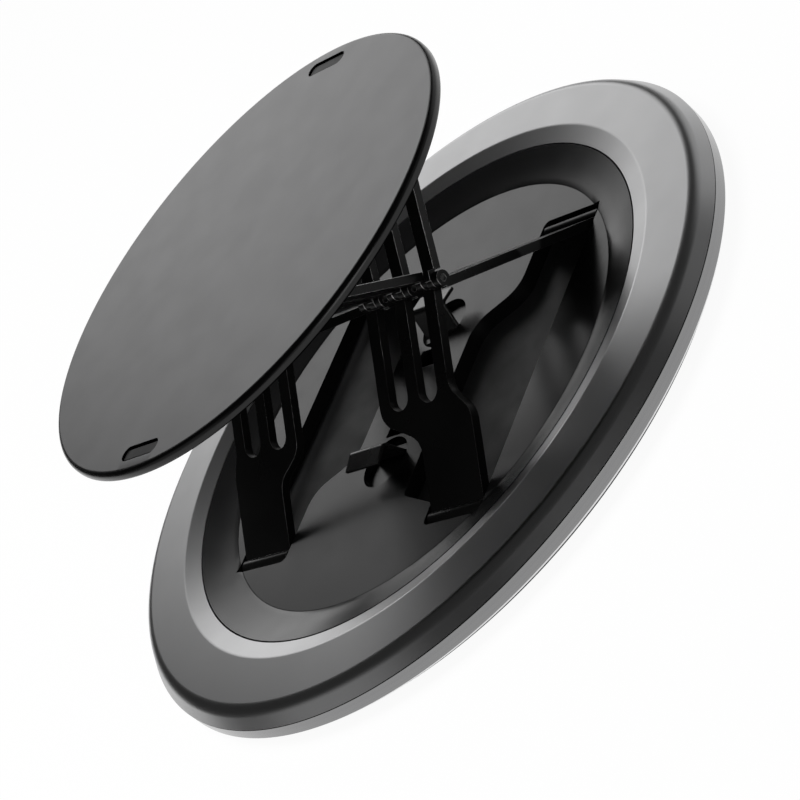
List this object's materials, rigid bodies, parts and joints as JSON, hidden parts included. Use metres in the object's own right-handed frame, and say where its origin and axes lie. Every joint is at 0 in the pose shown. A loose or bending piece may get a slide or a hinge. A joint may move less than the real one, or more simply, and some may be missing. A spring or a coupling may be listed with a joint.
{
  "type": "phone grip",
  "caption": "Round magnetic phone grip: a thin disc rises from a shallow dished base on folding forked arms, for fingers to hold.",
  "frame": {"origin": "centre of the base's underside, on the surface it is stuck to", "axes": "+Z from the base to the disc, X along the arms, Y along the hinges"},
  "size_m": [0.0584, 0.0584, 0.0205],
  "materials": {
    "pad": "matt soft pad",
    "plate": "matt",
    "band": "satin",
    "shell": "satin anodised",
    "dish": "satin",
    "magnet": "plated",
    "steel": "plated",
    "spring": "blackened",
    "arm": "gloss black",
    "pin": "blackened",
    "disc": "satin anodised"
  },
  "bodies": {
    "base": {"grip_pad": "pad", "bottom_plate": "plate", "base_band": "band", "base_shell": "shell", "dish": "dish", "dish_wall": "dish", "magnet_ring": "magnet", "shunt_ring": "steel", "front_floor_pin": "pin", "rear_floor_pin": "pin", "pop_spring_front": "spring", "pop_spring_rear": "spring"},
    "top": {"hinge_carrier": "arm", "top_disc": "disc"},
    "front_arms": {"front_arm_left": "arm", "front_arm_right": "arm", "front_elbow_pins": "pin"},
    "front_links": {"front_link_left": "arm", "front_link_right": "arm", "front_top_pins": "pin"},
    "rear_arms": {"rear_arm_left": "arm", "rear_arm_right": "arm", "rear_elbow_pins": "pin"},
    "rear_links": {"rear_link_left": "arm", "rear_link_right": "arm", "rear_top_pins": "pin"}
  },
  "joints": [
    {"name": "front_arm_hinge", "type": "hinge", "parent": "base", "child": "front_arms", "pos_m": [-0.013, 0, 0.00165], "axis": [0, 1, 0], "range_deg": [0, 36.5], "deforming": ["pop_spring_front", "pop_spring_rear"]},
    {"name": "front_elbow", "type": "hinge", "parent": "front_arms", "child": "front_links", "pos_m": [0.00011, 0, 0.01151], "axis": [0, 1, 0], "range_deg": [-80.63, 0]},
    {"name": "disc_hinge", "type": "hinge", "parent": "front_links", "child": "top", "pos_m": [-0.00706, 0, 0.01914], "axis": [0, 1, 0], "range_deg": [0, 44.13]},
    {"name": "rear_arm_hinge", "type": "hinge", "parent": "base", "child": "rear_arms", "pos_m": [0.013, 0, 0.00165], "axis": [0, 1, 0], "range_deg": [-36.7, 0]},
    {"name": "rear_elbow", "type": "hinge", "parent": "rear_arms", "child": "rear_links", "pos_m": [-0.00011, 0, 0.01151], "axis": [0, 1, 0], "range_deg": [0, 80.63]}
  ],
  "couplings": [
    {"joint": "front_elbow", "follows": "front_arm_hinge", "ratio": -2.2036},
    {"joint": "disc_hinge", "follows": "front_arm_hinge", "ratio": 1.2036},
    {"joint": "rear_arm_hinge", "follows": "front_arm_hinge", "ratio": -1},
    {"joint": "rear_elbow", "follows": "front_arm_hinge", "ratio": 2.2036}
  ]
}
